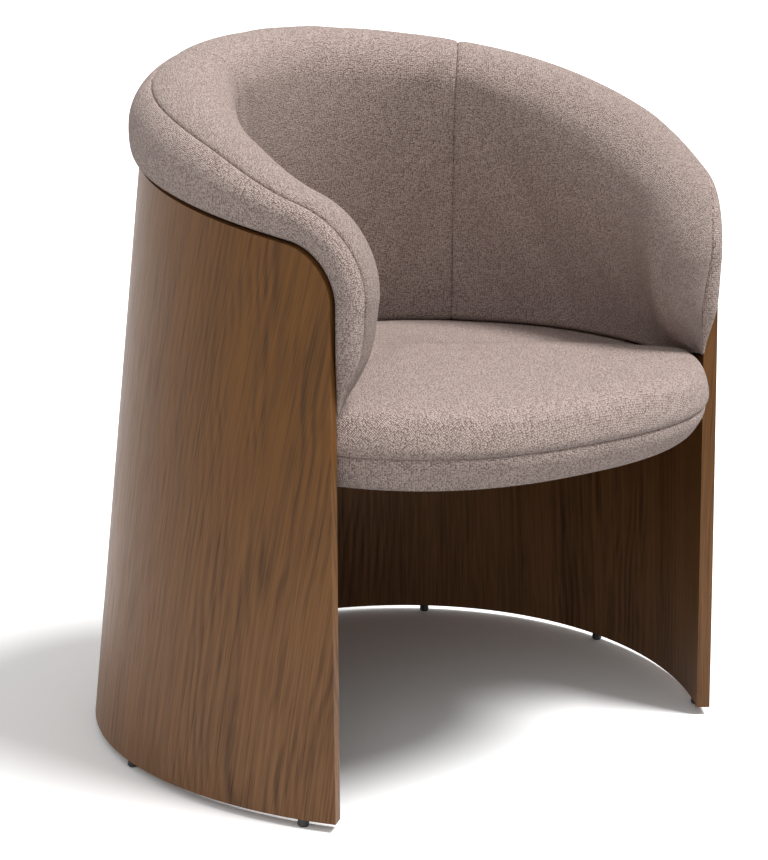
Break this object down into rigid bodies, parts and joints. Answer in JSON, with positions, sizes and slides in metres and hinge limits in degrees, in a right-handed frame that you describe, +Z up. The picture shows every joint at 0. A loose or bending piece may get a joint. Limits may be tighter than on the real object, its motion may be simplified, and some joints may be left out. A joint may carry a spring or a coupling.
{
  "type": "tub chair",
  "caption": "Low upholstered armchair: a bent plywood wrap stands on the floor and carries a padded back, arms and a thick seat.",
  "frame": {"origin": "on the floor, under the middle of the chair's width and depth", "axes": "+Z up, -Y towards the chair's open front, +X to the left of someone sitting in it"},
  "size_m": [0.6838, 0.671, 0.7591],
  "materials": {
    "oak_veneer": "satin lacquered, upright grain",
    "birch_plywood": "raw sanded",
    "beech_cleat": "raw planed",
    "taupe_fabric": "coarse basket weave",
    "upholstery_foam": "open cell foam",
    "dust_cloth": "thin non-woven",
    "zinc_steel": "zinc plated",
    "black_nylon": "moulded matt"
  },
  "bodies": {
    "root": {"wrap_shell": "oak_veneer", "glides": "black_nylon", "glide_pins": "zinc_steel", "seat_rail_left": "beech_cleat", "seat_rail_right": "beech_cleat", "seat_rail_back": "beech_cleat", "rail_screws": "zinc_steel", "seat_deck": "birch_plywood", "deck_tee_nuts": "zinc_steel", "deck_bolts": "zinc_steel", "seat_dust_cover": "dust_cloth", "seat_foam": "upholstery_foam", "seat_border_cover": "taupe_fabric", "seat_top_cover": "taupe_fabric", "pad_carrier": "birch_plywood", "carrier_screws": "zinc_steel", "back_foam": "upholstery_foam", "back_cover_centre": "taupe_fabric", "back_cover_left": "taupe_fabric", "back_cover_right": "taupe_fabric", "roll_facing": "taupe_fabric"}
  },
  "joints": []
}
